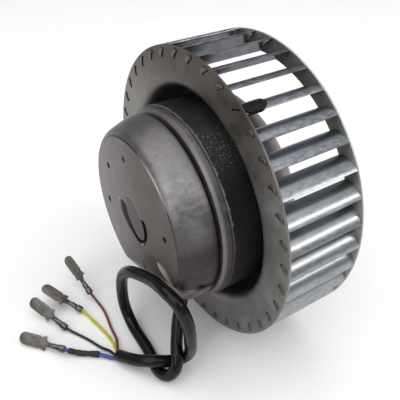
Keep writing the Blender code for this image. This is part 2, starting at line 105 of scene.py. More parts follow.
# Cable, m
CABLE_D = 0.0058
CABLE_ROUTE = [
    (0.0222, 0.0105, -0.0399),
    (0.0232, 0.0092, -0.0418), (0.0255, 0.0062, -0.0462), (0.0302, 0.0025, -0.0508),
    (0.0358, -0.0012, -0.0542), (0.0402, -0.0042, -0.0594), (0.0386, -0.0080, -0.0652),
    (0.0320, -0.0098, -0.0670), (0.0245, -0.0088, -0.0668), (0.0170, -0.0080, -0.0668),
    (0.0095, -0.0078, -0.0670), (0.0020, -0.0075, -0.0665), (-0.0038, -0.0075, -0.0622),
    (-0.0060, -0.0078, -0.0552), (-0.0062, -0.0078, -0.0478), (-0.0050, -0.0078, -0.0405),
    (-0.0022, -0.0075, -0.0335), (0.0028, -0.0068, -0.0280), (0.0090, -0.0055, -0.0248),
    (0.0160, -0.0040, -0.0225), (0.0232, -0.0033, -0.0202), (0.0305, -0.0032, -0.0184),
    (0.0374, -0.0020, -0.0194), (0.0417, -0.0002, -0.0248), (0.0432, 0.0010, -0.0320),
    (0.0428, 0.0020, -0.0395), (0.0418, 0.0028, -0.0468), (0.0398, 0.0038, -0.0538),
    (0.0372, 0.0022, -0.0602), (0.0344, -0.0034, -0.0624), (0.0318, -0.0100, -0.0606),
    (0.0272, -0.0152, -0.0618), (0.0212, -0.0188, -0.0644), (0.0148, -0.0215, -0.0670),
]
# Each core's route and diameter in m, its tab's heading, rise and roll in degrees, and its darkest and
# lightest tone
CORES = {
    "brown": {
        "route": [(0.0136, -0.0209, -0.0662), (0.0060, -0.0186, -0.0678), (-0.0030, -0.0172, -0.0690),
                  (-0.0116, -0.0158, -0.0692), (-0.0192, -0.0152, -0.0689), (-0.0246, -0.0159, -0.0677),
                  (-0.0296, -0.0169, -0.0658)],
        "diameter": 0.0014,
        "tab_lie": (192.0, 28.0, -62.0),
        "tones": ((0.13, 0.030, 0.026), (0.21, 0.062, 0.050)),
    },
    "yellow": {
        "route": [(0.0144, -0.0205, -0.0682), (0.0056, -0.0204, -0.0691), (-0.0034, -0.0209, -0.0691),
                  (-0.0109, -0.0222, -0.0691), (-0.0178, -0.0236, -0.0691), (-0.0230, -0.0252, -0.0682)],
        "diameter": 0.0015,
        "tab_lie": (212.4, 21.6, 6.0),
        "tones": ((0.42, 0.37, 0.012), (0.62, 0.56, 0.04)),
    },
    "black": {
        "route": [(0.0145, -0.0231, -0.0662), (0.0096, -0.0242, -0.0674), (0.0048, -0.0262, -0.0689),
                  (-0.0010, -0.0286, -0.0692), (-0.0070, -0.0314, -0.0692), (-0.0120, -0.0342, -0.0690),
                  (-0.0161, -0.0366, -0.0682)],
        "diameter": 0.0014,
        "tab_lie": (206.7, 17.7, -50.0),
        "tones": ((0.010, 0.010, 0.011), (0.026, 0.026, 0.028)),
    },
    "blue": {
        "route": [(0.0151, -0.0228, -0.0684), (0.0122, -0.0254, -0.0687), (0.0082, -0.0289, -0.0684),
                  (0.0050, -0.0328, -0.0684), (0.0020, -0.0369, -0.0682), (-0.0026, -0.0425, -0.0666)],
        "diameter": 0.0020,
        "tab_lie": (221.7, 3.1, -50.0),
        "tones": ((0.024, 0.058, 0.22), (0.05, 0.105, 0.34)),
    },
}  # fmt: skip
INSIDE_JACKET = 0.003  # how far back a core's piece starts, in the jacket
INSIDE_BARREL = 0.003  # how far on a core's piece ends, in its tab's barrel
SLEEVE_SPAN = (0.38, 0.86)  # share of the blue core's length

# Push-on tabs, mm
BARREL_R = 1.75
TAB_GAP = 0.3  # between a core's CAD end and its tab

# --- camera ----------------------------------------------------------------------------------------

CAMERA_AT = Vector((169.5, -75.6, 146.2)) * MM
CAMERA_FORWARD = Vector((-0.67119, 0.43854, -0.59765))
CAMERA_RIGHT = Vector((0.54697, 0.83715, 0.0))
LENS_MM = 47.0


def place_camera():
    data = bpy.data.cameras.new("camera")
    data.lens = LENS_MM
    data.sensor_width = 36.0
    data.clip_start = 0.01
    camera = bpy.data.objects.new("camera", data)
    bpy.context.scene.collection.objects.link(camera)
    back = -CAMERA_FORWARD.normalized()
    right = CAMERA_RIGHT.normalized()
    up = back.cross(right)
    turn = Matrix((right, up, back)).transposed().to_4x4()
    camera.matrix_world = Matrix.Translation(CAMERA_AT) @ turn
    bpy.context.scene.camera = camera


# --- node materials --------------------------------------------------------------------------------


class Finish:
    """A Principled material whose colour, roughness and bump come from noise in the row frame."""

    def __init__(self, name, metallic=0.0, **sockets):
        self.material = bpy.data.materials.new(name)
        self.material.use_nodes = True
        self.tree = self.material.node_tree
        self.shader = self.tree.nodes["Principled BSDF"]
        self.shader.inputs["Metallic"].default_value = metallic
        for socket, value in sockets.items():
            self.shader.inputs[socket].default_value = value
        self.place = self.add("ShaderNodeTexCoord").outputs["Object"]
        axes = self.add("ShaderNodeSeparateXYZ")
        self.join(self.place, axes.inputs[0])
        self.x, self.y, self.z = axes.outputs
        self.colour = None

    def add(self, kind, **settings):
        made = self.tree.nodes.new(kind)
        for name, value in settings.items():
            setattr(made, name, value)
        return made

    def join(self, source, target):
        self.tree.links.new(source, target)

    def feed(self, target, value):
        if isinstance(value, bpy.types.NodeSocket):
            self.join(value, target)
        else:
            target.default_value = value

    def math(self, operation, first, second=0.0):
        made = self.add("ShaderNodeMath", operation=operation)
        self.feed(made.inputs[0], first)
        self.feed(made.inputs[1], second)
        return made.outputs[0]

    def times(self, product, *factors):
        for factor in factors:
            product = self.math("MULTIPLY", product, factor)
        return product

    def sum(self, *weighted):
        """Sum of (value, weight) pairs."""
        total = None
        for value, weight in weighted:
            term = self.times(value, weight)
            total = term if total is None else self.math("ADD", total, term)
        return total

    def distance(self, first, second):
        """Length of the vector that has these two components."""
        squares = self.math("ADD", self.times(first, first), self.times(second, second))
        return self.math("SQRT", squares)

    def radius(self):
        """Distance from the shaft, m."""
        return self.distance(self.x, self.z)

    def stretched(self, scale):
        made = self.add("ShaderNodeMapping")
        self.join(self.place, made.inputs["Vector"])
        made.inputs["Scale"].default_value = scale
        return made.outputs[0]

    def noise(self, size_mm, detail=4.0, rough=0.55, vector=None):
        """Noise whose blobs are about size_mm across."""
        made = self.add("ShaderNodeTexNoise")
        self.join(self.place if vector is None else vector, made.inputs["Vector"])
        made.inputs["Scale"].default_value = 1 / (size_mm * MM)
        made.inputs["Detail"].default_value = detail
        made.inputs["Roughness"].default_value = rough
        return made.outputs["Fac"]

    def spread(self, value, low, high, out_low=0.0, out_high=1.0):
        """value from low..high to out_low..out_high, held at both ends."""
        made = self.add("ShaderNodeMapRange")
        self.feed(made.inputs["Value"], value)
        ends = {"From Min": low, "From Max": high, "To Min": out_low, "To Max": out_high}
        for socket, number in ends.items():
            made.inputs[socket].default_value = number
        return made.outputs["Result"]

    def past(self, place, start_mm, whole_mm):
        """0 up to one place, rising to 1 at the next."""
        return self.spread(place, start_mm * MM, whole_mm * MM)

    def until(self, place, last_mm, gone_mm):
        """1 up to one place, falling to 0 at the next."""
        return self.spread(place, last_mm * MM, gone_mm * MM, 1.0, 0.0)

    def near(self, spot, inner_mm, outer_mm):
        """1 within inner_mm of a point given in mm, fading to 0 at outer_mm."""
        away = self.add("ShaderNodeVectorMath", operation="DISTANCE")
        self.join(self.place, away.inputs[0])
        away.inputs[1].default_value = Vector(spot) * MM
        return self.until(away.outputs["Value"], inner_mm, outer_mm)

    def colours(self, value, *stops):
        """A colour ramp of (position, (r, g, b)) stops."""
        made = self.add("ShaderNodeValToRGB")
        self.feed(made.inputs[0], value)
        elements = made.color_ramp.elements
        while len(elements) < len(stops):
            elements.new(1.0)
        for element, (position, colour) in zip(elements, stops):
            element.position = position
            element.color = (*colour, 1.0)
        return made.outputs[0]

    def mix(self, share, first, second):
        made = self.add("ShaderNodeMix", data_type="RGBA")
        self.feed(made.inputs[0], share)
        for target, value in ((made.inputs[6], first), (made.inputs[7], second)):
            self.feed(target, (*value, 1.0) if isinstance(value, tuple) else value)
        return made.outputs[2]

    def lay(self, tint, *shares):
        """Lays a tint over the colour so far, as strongly as the shares' product."""
        self.colour = self.mix(self.times(*shares), self.colour, tint)

    def finish(self, roughness, height=None, depth_mm=0.03, strength=0.6):
        self.join(self.colour, self.shader.inputs["Base Color"])
        self.feed(self.shader.inputs["Roughness"], roughness)
        if height is not None:
            bump = self.add("ShaderNodeBump")
            bump.inputs["Strength"].default_value = strength
            bump.inputs["Distance"].default_value = depth_mm * MM
            self.join(height, bump.inputs["Height"])
            self.join(bump.outputs[0], self.shader.inputs["Normal"])
        return self.material


def by_height(made):
    """Share of a surface's lit tone: none low down, whole half-way up, and less again near the top."""
    wavy = made.math("ADD", made.z, made.times(made.noise(12.0), 12 * MM))
    rising = made.math("POWER", made.past(wavy, 10, 30), 1.5)
    return made.times(rising, made.spread(wavy, 34 * MM, 50 * MM, 1.0, 0.5))


def disc_field(made):
    """Distance from the middle disc's centre in disc radii, and the share of it towards its upper side."""
    turned_place = made.add("ShaderNodeMapping", vector_type="TEXTURE")
    made.join(made.place, turned_place.inputs["Vector"])
    turned_place.inputs["Location"].default_value = (DISC_MIDDLE[0] * MM, 0.0, DISC_MIDDLE[1] * MM)
    turned_place.inputs["Rotation"].default_value = (0.0, -DISC_TURN, 0.0)
    turned_place.inputs["Scale"].default_value = (DISC_HALF[0] * MM, 1.0, DISC_HALF[1] * MM)
    axes = made.add("ShaderNodeSeparateXYZ")
    made.join(turned_place.outputs[0], axes.inputs[0])
    along, _, across = axes.outputs
    return made.distance(along, across), across


def face_colour(made, mixed, from_disc, disc_side):
    """Brown-grey flat face, made paler to the left by painted light, with a dark middle disc that has a
    painted highlight along its upper rim.
    """
    made.colour = made.colours(
        mixed, (0.36, (0.072, 0.053, 0.048)), (0.52, (0.090, 0.069, 0.063)), (0.66, (0.116, 0.094, 0.088))
    )
    # painted light: the face is paler to the left
    made.lay((0.245, 0.228, 0.224), made.until(made.x, -34, 8), 0.85)
    made.lay((0.026, 0.021, 0.020), made.spread(from_disc, 0.98, 1.0, 0.6, 0.0))
    # painted highlight along the disc's upper rim
    rim = made.times(made.spread(from_disc, 0.95, 1.0), made.spread(from_disc, 1.03, 1.09, 1.0, 0.0))
    made.lay((0.26, 0.25, 0.24), rim, made.spread(disc_side, 0.0, 0.25), 0.75)


def wall_colour(made, mixed):
    """Side wall: a lit tone part-way up over a darker painted-shade copy low down and partly near the top."""
    lit = made.colours(
        mixed, (0.36, (0.185, 0.176, 0.176)), (0.50, (0.245, 0.235, 0.235)), (0.64, (0.315, 0.305, 0.307))
    )
    # painted shade: the darker copy of the wall's tone, used low down
    darker_low = made.colours(
        mixed, (0.36, (0.038, 0.030, 0.030)), (0.52, (0.052, 0.042, 0.044)), (0.66, (0.070, 0.058, 0.063))
    )
    return made.mix(by_height(made), darker_low, lit)


def lay_corner_notch_and_facet_tones(made, mottle):
    """The face's corner, the notch's floor, the band over it and the dished spot: a painted highlight near
    the corner's top with the rest of the corner darker, lighter tones on the notch's floor and the band, and
    a painted highlight on the dished spot.
    """
    radius = made.radius()
    corner = made.times(made.past(radius, 37.2, 37.4), made.until(made.y, 0.3, 0.5))
    # painted highlight on the corner near its top; the rest of the corner is painted darker
    corner_highlight_tone = made.mix(made.near((20.0, 0.0, 31.5), 3.0, 15.0), (0.055, 0.045, 0.042), (0.60, 0.57, 0.55))
    made.lay(corner_highlight_tone, corner, 0.85)
    off_face = made.past(made.y, 0.3, 0.6)
    normal = Vector(NOTCH_NORMAL).normalized()
    reach = made.add("ShaderNodeVectorMath", operation="DOT_PRODUCT")
    made.join(made.place, reach.inputs[0])
    reach.inputs[1].default_value = normal
    off_plane = made.math("SUBTRACT", reach.outputs["Value"], normal.dot(Vector(NOTCH_CORNER)) * MM)
    notch = made.times(made.until(made.math("ABSOLUTE", off_plane), 0.6, 1.1), off_face)
    made.lay((0.34, 0.31, 0.285), notch, 0.9)
    lean = made.math("ADD", made.z, made.times(made.y, 0.18))
    band = made.times(made.until(lean, -16.3, -15.7), off_face, made.past(made.x, 22, 28))
    band_tone = made.colours(mottle, (0.35, (0.17, 0.142, 0.132)), (0.65, (0.27, 0.235, 0.22)))
    made.lay(band_tone, band, 0.9)
    # painted highlight on the dished spot
    dished = made.times(made.near(*DISHED_TONE_REACH), made.past(made.y, 0.03, 0.12))
    made.lay((0.34, 0.33, 0.305), dished, made.until(radius, 35.5, 36.0), 0.85)


def lay_recess_shade_and_glints(made, from_disc, disc_side):
    """Painted shade in the screw holes and in the recess, darkest against the disc, and painted glints on the
    burrs' tips.
    """
    radius = made.radius()
    left_side = made.times(
        made.spread(from_disc, 1.48, 1.66, 0.97, 0.25), made.spread(disc_side, -0.15, 0.1, 1.0, 0.0)
    )
    right_side = made.spread(disc_side, -0.15, 0.1, 0.0, 0.15)
    in_hole = made.past(radius, 20, 21)
    share = made.math("MAXIMUM", made.math("ADD", left_side, right_side), in_hole)
    sunk = made.times(made.past(made.y, 0.1, 0.5), made.until(radius, 33.0, 33.5))
    off_dished = made.math("SUBTRACT", 1.0, made.near(*DISHED_TONE_REACH))
    # painted shade: dark in the holes and the sunken recess
    made.lay((0.010, 0.009, 0.008), sunk, off_dished, share)
    # painted glints on the burrs' tips
    for x, z in BURRS:
        made.lay((0.62, 0.60, 0.57), made.near((x, 0, z), 0.4, 0.9), 0.7)


def cast_aluminium():
    """Dull die-cast housing, finely grained and brushed, with a painted highlight on the wall, a darker
    violet tint, scuffs and specks.
    """
    made = Finish("cast_aluminium", metallic=0.88)
    mottle = made.noise(9.0, detail=6, rough=0.62)
    patches = made.noise(24.0, detail=3)
    grain = made.noise(0.7, detail=3)
    fine = made.noise(0.25, detail=2)
    brushed = made.noise(2.4, detail=6, rough=0.65, vector=made.stretched((1.0, 0.5, 1.0)))
    from_disc, disc_side = disc_field(made)
    face_colour(made, made.sum((mottle, 0.4), (patches, 0.45), (grain, 0.15)), from_disc, disc_side)
    wall = wall_colour(made, made.sum((mottle, 0.45), (patches, 0.25), (brushed, 0.3)))
    made.lay(wall, made.past(made.y, 0.05, 0.16))
    # painted highlight high on the wall's near side, broken up by the brushed grain, and a darker violet tint
    # lower down
    wall_highlight = made.near((34.0, 7.4, 26.5), 3.0, 14.0)
    made.lay((0.40, 0.38, 0.37), wall_highlight, made.spread(brushed, 0.44, 0.60), 0.5)
    darker_low = made.near((41.5, 8.0, -1.0), 5.0, 20.0)
    made.lay((0.075, 0.060, 0.078), darker_low, made.spread(mottle, 0.40, 0.60), 0.35)
    # scuffs on the face above its middle
    scuff_line = made.noise(1.8, detail=3, vector=made.stretched((1.0, 1.0, 0.25)))
    scuff = made.times(made.near((0.5, 0.0, 21.5), 2.0, 7.5), made.spread(scuff_line, 0.52, 0.62))
    made.lay((0.055, 0.042, 0.036), scuff, 0.55)
    made.lay((0.04, 0.034, 0.03), made.spread(made.noise(1.1, detail=2), 0.68, 0.74), 0.5)
    lay_corner_notch_and_facet_tones(made, mottle)
    lay_recess_shade_and_glints(made, from_disc, disc_side)
    roughness = made.spread(made.sum((mottle, 0.6), (grain, 0.4)), 0.35, 0.65, 0.36, 0.50)
    height = made.sum((grain, 0.45), (fine, 0.2), (brushed, 0.35), (scuff, -0.3))
    return made.finish(roughness, height, strength=0.5)


def cage_aluminium():
    """Die-cast and turned on its edge, painted light part-way up over painted shade low down like the
    housing's wall, with a paler front lip.
    """
    made = Finish("cage_aluminium", metallic=0.88)
    mottle = made.noise(5.0, detail=5, rough=0.65)
    grain = made.noise(0.5, detail=3)
    turned_marks = made.noise(0.5, detail=2, vector=made.stretched((0.05, 1.0, 0.05)))
    mixed = made.sum((mottle, 0.65), (grain, 0.35))
    # painted light and shade: a lit copy and a darker copy of the tone, mixed by height
    lit = made.colours(
        mixed, (0.36, (0.105, 0.105, 0.100)), (0.52, (0.165, 0.158, 0.155)), (0.66, (0.25, 0.24, 0.235))
    )
    made.colour = made.colours(
        mixed, (0.36, (0.062, 0.052, 0.050)), (0.52, (0.085, 0.072, 0.072)), (0.66, (0.12, 0.10, 0.10))
    )
    made.lay(lit, by_height(made))
    made.lay((0.34, 0.32, 0.30), made.until(made.y, 18.2, 19.2), 0.35)
    roughness = made.spread(mottle, 0.35, 0.65, 0.36, 0.52)
    return made.finish(roughness, made.sum((turned_marks, 0.5), (grain, 0.5)))


def black_enamel():
    """Matt black paint with dust and a painted sheen on its upper near side, chipped to metal along the
    mouth.
    """
    made = Finish("black_enamel", **{"Specular IOR Level": 0.2})
    mottle = made.noise(7.0, detail=5)
    orange_peel = made.noise(0.9, detail=3)
    fine = made.noise(0.3, detail=2)
    made.colour = made.colours(
        made.sum((mottle, 0.7), (orange_peel, 0.3)),
        (0.35, (0.0080, 0.0080, 0.0078)), (0.55, (0.0130, 0.0126, 0.0120)), (0.70, (0.023, 0.0224, 0.0215)),
    )  # fmt: skip
    # painted sheen: lighter high on the near side
    made.lay((0.16, 0.16, 0.155), made.near((20.0, 29.0, 41.0), 3.0, 24.0), 0.10)
    crumbs = made.spread(made.noise(0.8, rough=0.7), 0.55, 0.66)
    made.lay((0.24, 0.24, 0.23), made.near((23.5, 29.0, 39.5), 4.0, 14.0), crumbs, 0.75)
    made.lay((0.12, 0.12, 0.115), made.spread(made.noise(0.9, detail=3, rough=0.6), 0.69, 0.75), 0.5)
    ragged = made.math("ADD", made.y, made.times(made.noise(2.6, detail=5, rough=0.65), 3.4 * MM))
    worn = made.until(ragged, CAN_MOUTH_Y + 2.25, CAN_MOUTH_Y + 2.4)
    # the bared metal along the mouth: painted light part-way up, painted shade low down
    made.lay(made.mix(by_height(made), (0.075, 0.062, 0.062), (0.16, 0.155, 0.15)), worn)
    roughness = made.spread(orange_peel, 0.3, 0.7, 0.48, 0.66)
    height = made.sum((orange_peel, 0.5), (fine, 0.2), (crumbs, 0.3), (worn, -0.8))
    return made.finish(roughness, height, depth_mm=0.05)


def galvanised(name, stops, has_cup=False):
    """Galvanised sheet: cloudy spangle, fine grain and a few dull spots."""
    made = Finish(name, metallic=0.88)
    clouds = made.noise(11.0, detail=5, rough=0.6)
    spangle = made.noise(2.6, rough=0.65)
    grain = made.noise(0.45, detail=3)
    made.colour = made.colours(made.sum((clouds, 0.5), (spangle, 0.32), (grain, 0.18)), *stops)
    if has_cup:
        # painted reflection: darker brown over the upper part of the plate and cup
        brown = made.mix(made.spread(clouds, 0.4, 0.6), (0.052, 0.036, 0.027), (0.085, 0.068, 0.056))
        made.lay(brown, made.past(made.z, 30, 60), 0.9)
        # painted shade: the cup's wall is darker and bluish; painted light: its closed end is pinkish and
        # lighter
        made.lay((0.15, 0.16, 0.18), made.past(made.y, 34.5, 37.5), 0.9)
        made.lay((0.31, 0.255, 0.24), made.past(made.y, 47, 49), 0.9)
    made.lay((0.05, 0.046, 0.042), made.spread(made.noise(1.8, detail=3), 0.66, 0.74), 0.45)
    roughness = made.spread(made.sum((clouds, 0.5), (spangle, 0.5)), 0.38, 0.62, 0.38, 0.54)
    return made.finish(roughness, made.sum((spangle, 0.45), (grain, 0.55)))


def blade_sheet():
    """Galvanised strip, finely mottled, with painted shade on the upper blades, a painted reflection on the
    topmost, a rubbed outer edge that also carries a painted highlight, and duller staked feet.
    """
    made = Finish("blade_sheet", metallic=0.9)
    clouds = made.noise(7.0, detail=5, rough=0.62)
    streaks = made.noise(1.1, detail=5, rough=0.65, vector=made.stretched((1.0, 0.3, 1.0)))
    grain = made.noise(0.55, rough=0.7)
    made.colour = made.colours(
        made.sum((clouds, 0.35), (streaks, 0.3), (grain, 0.35)),
        (0.36, (0.235, 0.250, 0.266)), (0.50, (0.275, 0.290, 0.306)), (0.64, (0.325, 0.340, 0.356)),
    )  # fmt: skip
    # painted shade: blades higher up are darker and bluish
    made.lay((0.135, 0.150, 0.178), made.past(made.z, 20, 46), 0.8)
    # the outer edge is lighter: rubbed, and a painted highlight
    made.lay((0.46, 0.47, 0.48), made.past(made.radius(), 67.6, 69.4), made.spread(streaks, 0.42, 0.58), 0.4)
    # painted reflection: the topmost blades are darker and browner
    made.lay((0.085, 0.068, 0.062), made.past(made.z, 58, 68), made.spread(clouds, 0.40, 0.60), 0.8)
    feet = made.math("ADD", made.until(made.y, 30.2, 30.5), made.past(made.y, 68.6, 68.8))
    made.lay((0.105, 0.098, 0.090), feet, 0.9)
    roughness = made.spread(made.sum((streaks, 0.5), (grain, 0.5)), 0.36, 0.64, 0.27, 0.36)
    return made.finish(roughness, made.sum((streaks, 0.35), (grain, 0.65)), depth_mm=0.005, strength=0.15)


def plastic(name, dark, light, rough, grain_mm, depth_mm, shine=0.35, haze=0.05):
    """Mottled plastic or rubber with hazy scuffs."""
    made = Finish(name, **{"Specular IOR Level": shine})
    mottle = made.noise(5.0)
    grain = made.noise(grain_mm, detail=3)
    scuffs = made.spread(made.noise(2.4, detail=5, rough=0.7), 0.60, 0.72)
    made.colour = made.colours(made.sum((mottle, 0.6), (grain, 0.4)), (0.35, dark), (0.65, light))
    made.lay(tuple(0.72 * channel + haze for channel in light), scuffs, 0.35)
    roughness = made.spread(made.sum((mottle, 0.5), (scuffs, 0.5)), 0.2, 0.8, *rough)
    return made.finish(roughness, made.sum((mottle, 0.4), (grain, 0.6)), depth_mm)


def plain_metal(name, dark, light, rough, grain_mm, stretch=(1, 1, 1), depth_mm=0.03):
    """Mottled bare metal with dull spots."""
    made = Finish(name, metallic=0.85)
    mottle = made.noise(3.5, detail=5, rough=0.6)
    grain = made.noise(grain_mm, vector=made.stretched(stretch))
    made.colour = made.colours(made.sum((mottle, 0.55), (grain, 0.45)), (0.36, dark), (0.64, light))
    dull = made.spread(made.noise(1.3), 0.58, 0.70)
    made.lay(tuple(0.45 * channel for channel in dark), dull, 0.4)
    roughness = made.spread(mottle, 0.35, 0.65, *rough)
    return made.finish(roughness, made.sum((mottle, 0.4), (grain, 0.6)), depth_mm)


# --- meshes ----------------------------------------------------------------------------------------


def wear(obj, finish):
    obj.data.materials.clear()
    obj.data.materials.append(finish)


def smooth(mesh):
    """Smooth shading, but for the edges that turn more than SHARP_FROM."""
    mesh.shade_smooth()
    mesh.set_sharp_from_angle(angle=SHARP_FROM)


def object_from(name, made, finish=None):
    """An object around a bmesh, its normals facing out."""
    bmesh.ops.recalc_face_normals(made, faces=made.faces)
    mesh = bpy.data.meshes.new(name)
    made.to_mesh(mesh)
    made.free()
    smooth(mesh)
    obj = bpy.data.objects.new(name, mesh)
    bpy.context.scene.collection.objects.link(obj)
    if finish is not None:
        wear(obj, finish)
    return obj


def bridge(made, ring, following):
    """A closed band of faces between two rings of as many points."""
    for i in range(len(ring)):
        j = (i + 1) % len(ring)
        made.faces.new([ring[i], ring[j], following[j], following[i]])


def skin(made, rings, capped=True):
    """Bands from each ring to the next, and a face over each end."""
    for ring, following in zip(rings, rings[1:]):
        bridge(made, ring, following)
    if capped:
        made.faces.new(rings[0][::-1])
        made.faces.new(rings[-1])


def rounded(corners, steps=5):
    """A closed outline from (a, b, fillet) corners, with each fillet drawn as a short curve."""
    outline = []
    for i, (a, b, fillet) in enumerate(corners):
        corner = Vector((a, b))
        if fillet == 0:
            outline.append((a, b))
            continue
        back = Vector(corners[i - 1][:2]) - corner
        on = Vector(corners[(i + 1) % len(corners)][:2]) - corner
        half = back.angle(on) / 2
        reach = min(fillet / max(0.05, abs(np.tan(half))), 0.48 * back.length, 0.48 * on.length)
        start, end = corner + back.normalized() * reach, corner + on.normalized() * reach
        for step in range(steps + 1):
            t = step / steps
            outline.append(tuple(start * (1 - t) ** 2 + corner * 2 * t * (1 - t) + end * t**2))
    return outline


def turned(name, profile, finish=None, steps=ROUND_STEPS):
    """A closed (radius, y) outline turned round the shaft."""
    made = bmesh.new()
    angles = [2 * pi * step / steps for step in range(steps)]
    rings = []
    for radius, along in profile:
        if radius < 1e-6:
            rings.append([made.verts.new((0, along * MM, 0))] * steps)
            continue
        ring = [(radius * cos(angle) * MM, along * MM, radius * sin(angle) * MM) for angle in angles]
        rings.append([made.verts.new(point) for point in ring])
    for ring, following in zip(rings, rings[1:] + rings[:1]):
        for step in range(steps):
            after = (step + 1) % steps
            corners = list(dict.fromkeys([ring[step], ring[after], following[after], following[step]]))
            if len(corners) > 2:
                made.faces.new(corners)
    return object_from(name, made, finish)


def add_prism(made, outline, low, high, rim=0.0):
    """Adds an (x, z) outline raised from y = low to y = high, with its edges eased by rim."""
    middle = Vector((sum(x for x, _ in outline), sum(z for _, z in outline))) / len(outline)
    levels = [(low, 0.0), (high, 0.0)]
    if rim:
        levels = [(low, rim), (low + rim, 0.0), (high - rim, 0.0), (high, rim)]
    rings = []
    for along, shrink in levels:
        ring = []
        for x, z in outline:
            inward = (middle - Vector((x, z))).normalized() * shrink
            ring.append(made.verts.new(((x + inward.x) * MM, along * MM, (z + inward.y) * MM)))
        rings.append(ring)
    skin(made, rings)


def prism_object(name, outline, low, high, rim=0.0):
    made = bmesh.new()
    add_prism(made, outline, low, high, rim)
    return object_from(name, made)


def spike(name, start, end, radius, end_radius=None, steps=32):
    """A round rod or cone from start to end, mm."""
    start = Vector(start) * MM
    axis = Vector(end) * MM - start
    tip = radius if end_radius is None else end_radius
    made = bmesh.new()
    bmesh.ops.create_cone(
        made, cap_ends=True, segments=steps, radius1=radius * MM, radius2=tip * MM, depth=axis.length
    )
    turn = axis.to_track_quat("Z", "Y").to_matrix().to_4x4()
    bmesh.ops.transform(made, matrix=Matrix.Translation(start + axis / 2) @ turn, verts=made.verts)
    return object_from(name, made)


def settle(obj):
    """Replaces an object's mesh by what its modifiers make of it."""
    graph = bpy.context.evaluated_depsgraph_get()
    mesh = bpy.data.meshes.new_from_object(obj.evaluated_get(graph))
    obj.modifiers.clear()
    obj.data = mesh


def combine(target, tool, operation):
    """One Boolean step, settled at once, after which the tool is gone."""
    modifier = target.modifiers.new(operation.title(), "BOOLEAN")
    modifier.operation = operation
    modifier.object = tool
    settle(target)
    smooth(target.data)
    bpy.data.objects.remove(tool, do_unlink=True)


def soften(obj, width_mm, above):
    """Rounds the edges that are sharper than the given angle."""
    modifier = obj.modifiers.new("Bevel", "BEVEL")
    modifier.width = width_mm * MM
    modifier.segments = 2
    modifier.limit_method = "ANGLE"
    modifier.angle_limit = above
    settle(obj)
    smooth(obj.data)


def even_normals(obj):
    """Lets the large flat faces set the shading beside the small ones."""
    modifier = obj.modifiers.new("Normals", "WEIGHTED_NORMAL")
    modifier.weight = 90
    modifier.keep_sharp = True
    settle(obj)


def set_along(obj, at, heading):
    """Turns a piece that was made along Y to a heading, and moves it by a vector in metres."""
    turn = Vector((0, 1, 0)).rotation_difference(heading).to_matrix().to_4x4()
    obj.data.transform(Matrix.Translation(at) @ turn)


def belongs(obj, body, slot, *nodes):
    """Says which body a piece rides on and the CAD nodes whose looks it replaces; its slot is not used."""
    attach(obj, body)
    if nodes:
        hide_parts(*nodes)
    return obj


# --- smooth routes ---------------------------------------------------------------------------------


def smooth_route(points, spacing):
    """Points about every `spacing` along the natural cubic curve through the given ones."""
    points = np.array(points, float)
    steps = np.linalg.norm(np.diff(points, axis=0), axis=1)
    knots = np.concatenate([[0.0], np.cumsum(steps)])
    count = len(points)
    system = np.eye(count)
    right = np.zeros((count, 3))
    for i in range(1, count - 1):
        before, after = steps[i - 1], steps[i]
        system[i, i - 1 : i + 2] = before, 2 * (before + after), after
        right[i] = 6 * ((points[i + 1] - points[i]) / after - (points[i] - points[i - 1]) / before)
    bends = np.linalg.solve(system, right)
    made = []
    for at in np.linspace(0, knots[-1], int(round(knots[-1] / spacing)) + 1):
        i = min(int(np.searchsorted(knots, at, side="right")) - 1, count - 2)
        span = steps[i]
        a = (knots[i + 1] - at) / span
        b = 1 - a
        curve = ((a**3 - a) * bends[i] + (b**3 - b) * bends[i + 1]) * span**2 / 6
        made.append(a * points[i] + b * points[i + 1] + curve)
    return np.array(made)


def route_length(points):
    return float(np.linalg.norm(np.diff(points, axis=0), axis=1).sum())


def cord_curve(name, points, diameter, finish):
    curve = bpy.data.curves.new(name, "CURVE")
    curve.dimensions = "3D"
    curve.bevel_depth = diameter / 2
    curve.bevel_resolution = 8
    curve.use_fill_caps = True
    spline = curve.splines.new("POLY")
    spline.points.add(len(points) - 1)
    for target, point in zip(spline.points, points):
        target.co = (*point, 1.0)
    spline.use_smooth = True
    obj = bpy.data.objects.new(name, curve)
    bpy.context.scene.collection.objects.link(obj)
    curve.materials.append(finish)
    return obj


# --- the cable and its cores -----------------------------------------------------------------------


def jacket_lip(points, finish):
    """Cut end of the jacket: an open ring round the cores."""
    end = Vector(points[-1])
    outer, bore = CABLE_D / 2 / MM + 0.04, 2.25
    profile = rounded([(bore, -2.6, 0), (outer, -2.6, 0), (outer, 0.55, 0.3), (bore, 0.55, 0.2)])
    lip = turned("jacket_lip", profile, finish, steps=40)
    set_along(lip, end, end - Vector(points[-3]))
    return lip


